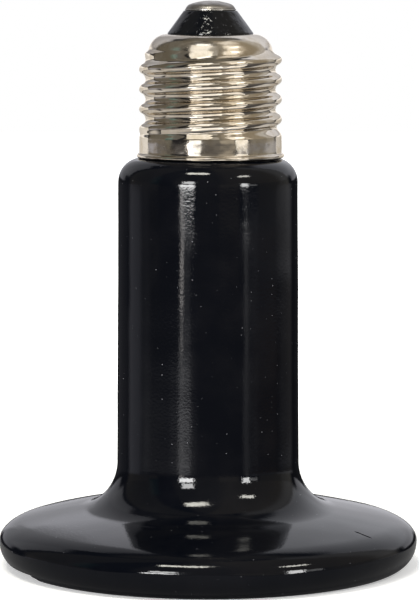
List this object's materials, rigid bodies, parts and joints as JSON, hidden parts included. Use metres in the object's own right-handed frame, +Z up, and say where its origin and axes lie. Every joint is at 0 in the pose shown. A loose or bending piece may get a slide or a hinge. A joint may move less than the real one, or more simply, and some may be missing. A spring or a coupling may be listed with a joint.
{
  "type": "ceramic heat emitter",
  "caption": "Glazed ceramic heat emitter for a screw lamp holder: a wide rounded disc on a flared hollow neck, with an Edison screw cap, glass insulator and tip contact.",
  "frame": {"origin": "on the axis of the disc, in the plane that its underside rests on", "axes": "+Z up the neck towards the screw cap; +X to the right and -Y towards the viewer of the picture"},
  "size_m": [0.077, 0.077, 0.1037],
  "materials": {
    "black_glaze": "glossy black glaze, slightly uneven",
    "nickel_plate": "polished nickel plate on rolled brass sheet",
    "black_glass": "opaque black glass",
    "solder": "dull solder",
    "cement": "matt cement",
    "resistance_wire": "oxidised resistance wire",
    "lead_wire": "nickel wire"
  },
  "bodies": {
    "root": {"ceramic_body": "black_glaze", "screw_shell": "nickel_plate", "tip_insulator": "black_glass", "contact_plate": "nickel_plate", "contact_solder": "solder", "cap_cement": "cement", "heating_coil": "resistance_wire", "live_lead": "lead_wire", "neutral_lead": "lead_wire"}
  },
  "joints": []
}
